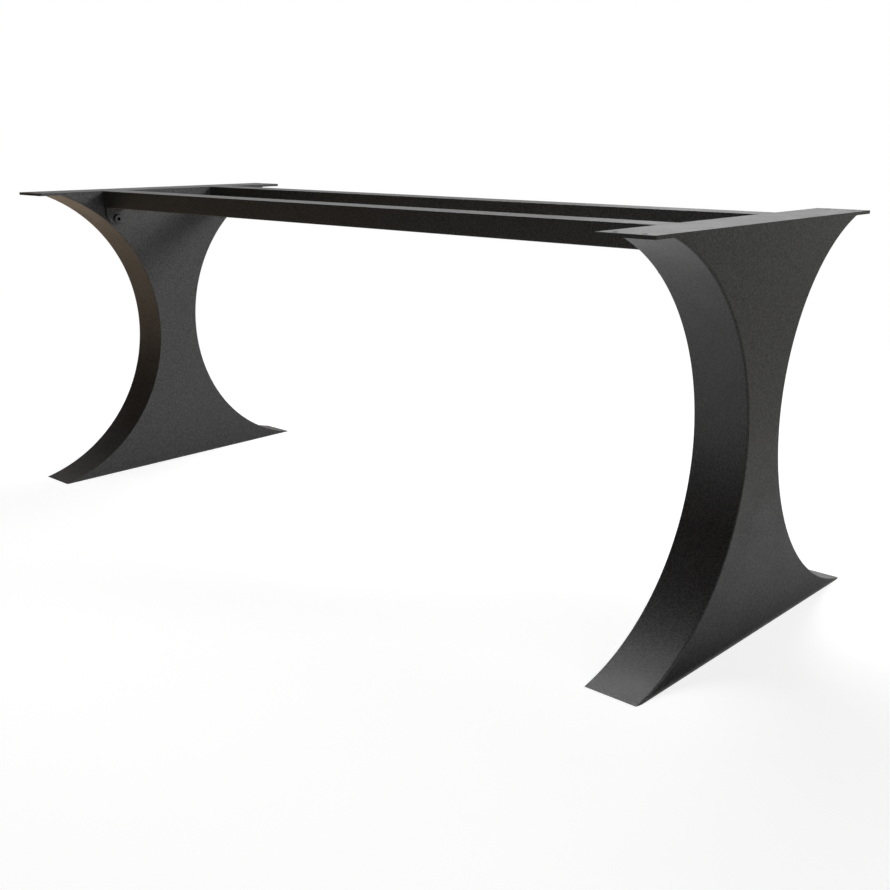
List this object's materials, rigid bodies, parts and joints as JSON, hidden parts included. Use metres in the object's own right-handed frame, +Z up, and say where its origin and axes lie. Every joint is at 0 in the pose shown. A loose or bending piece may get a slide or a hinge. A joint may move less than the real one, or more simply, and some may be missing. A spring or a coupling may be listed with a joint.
{
  "type": "table base",
  "caption": "Steel table base: hourglass box legs joined by straight rails bolted on through end plates, with overhanging top plates drilled for table-top screws.",
  "frame": {"origin": "on the floor, midway between the legs and midway across them", "axes": "+X along the rails towards the right leg, +Y across the legs towards the rear, +Z up from the floor to the top plates"},
  "size_m": [1.8, 0.7, 0.71],
  "materials": {
    "charcoal_coat": "matt fine-textured charcoal powder coat",
    "bolt_black": "black satin",
    "bare_steel": "bare, inside the closed legs"
  },
  "bodies": {
    "root": {"left_leg_outer_face": "charcoal_coat", "left_leg_inner_face": "charcoal_coat", "left_leg_front_side": "charcoal_coat", "left_leg_rear_side": "charcoal_coat", "left_leg_top_plate": "charcoal_coat", "left_leg_base_plate": "charcoal_coat", "right_leg_outer_face": "charcoal_coat", "right_leg_inner_face": "charcoal_coat", "right_leg_front_side": "charcoal_coat", "right_leg_rear_side": "charcoal_coat", "right_leg_top_plate": "charcoal_coat", "right_leg_base_plate": "charcoal_coat", "front_rail": "charcoal_coat", "front_rail_left_end_plate": "charcoal_coat", "front_rail_right_end_plate": "charcoal_coat", "rear_rail": "charcoal_coat", "rear_rail_left_end_plate": "charcoal_coat", "rear_rail_right_end_plate": "charcoal_coat", "rail_bolts": "bolt_black", "weld_nuts": "bare_steel"}
  },
  "joints": []
}
